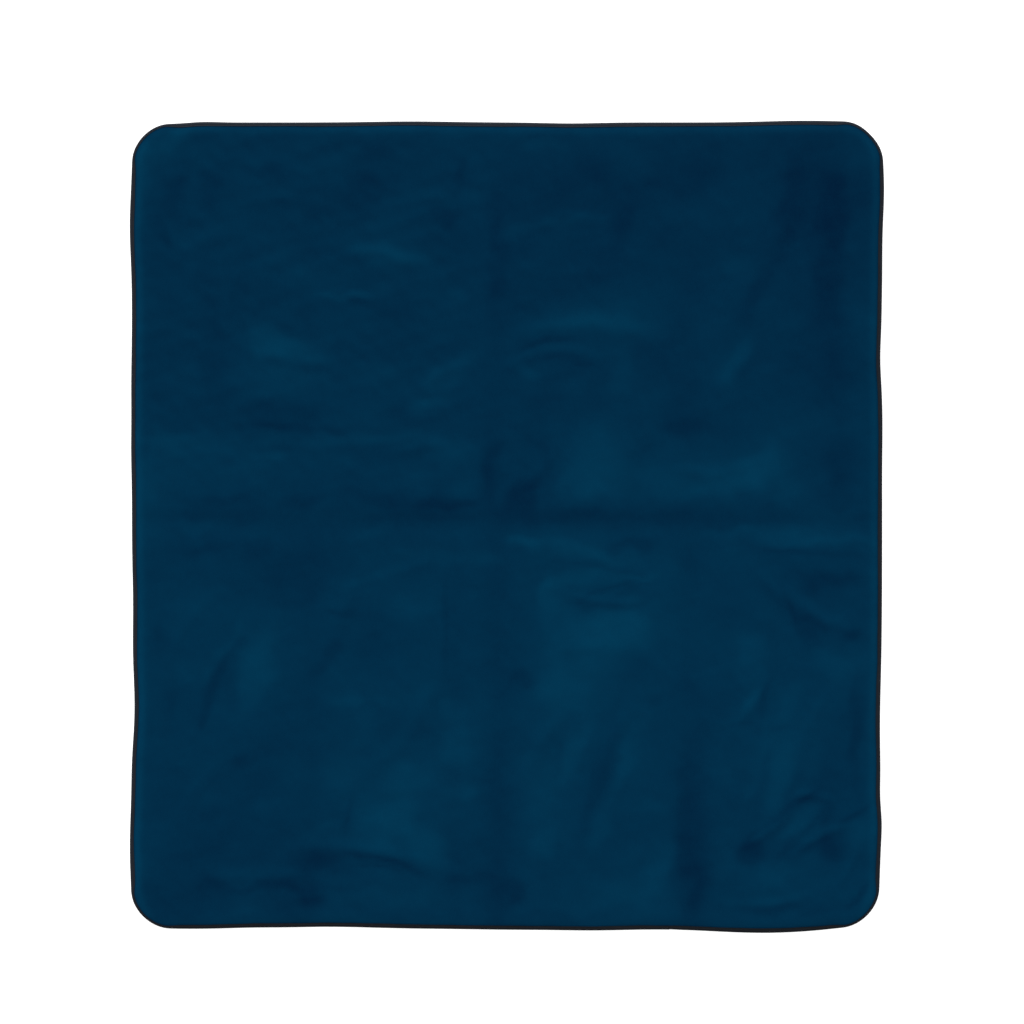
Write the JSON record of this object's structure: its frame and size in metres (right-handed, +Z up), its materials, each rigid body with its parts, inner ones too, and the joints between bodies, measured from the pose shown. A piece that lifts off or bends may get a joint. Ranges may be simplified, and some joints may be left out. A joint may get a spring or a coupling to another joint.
{
  "type": "camp blanket",
  "caption": "Rectangular fleece-faced camp blanket with a thin foam core, woven backing and tape-bound rounded edge, folding in half.",
  "frame": {"origin": "middle of the blanket's outline, on the plane it lies on", "axes": "+Z up out of the fleece face, +Y along the length towards the far edge, +X along the width to the right; the half fold runs along X through the origin"},
  "size_m": [1.4, 1.507, 0.0083],
  "materials": {
    "fleece_pile": "brushed deep teal-navy fleece, matt with a soft pile sheen",
    "foam_sheet": "thin open-cell foam sheet, off-white",
    "coated_weave": "coated plain-weave polyester, charcoal, slight gloss",
    "binding_tape": "woven charcoal polyester tape, matt",
    "needle_yarn": "spun polyester sewing thread, charcoal",
    "bobbin_yarn": "spun polyester sewing thread, charcoal",
    "label_satin": "blank woven satin label, off-white"
  },
  "bodies": {
    "far_half": {"far_fleece": "fleece_pile", "far_foam": "foam_sheet", "far_backing": "coated_weave", "far_binding": "binding_tape", "far_needle_thread": "needle_yarn", "far_bobbin_thread": "bobbin_yarn"},
    "near_half": {"near_fleece": "fleece_pile", "near_foam": "foam_sheet", "near_backing": "coated_weave", "near_binding": "binding_tape", "near_needle_thread": "needle_yarn", "near_bobbin_thread": "bobbin_yarn", "bar_tack": "needle_yarn", "care_label": "label_satin"}
  },
  "joints": [
    {"name": "half_fold", "type": "hinge", "parent": "far_half", "child": "near_half", "pos_m": [0, 0, 0.0111], "axis": [-1, 0, 0], "range_deg": [0, 179.8]}
  ]
}
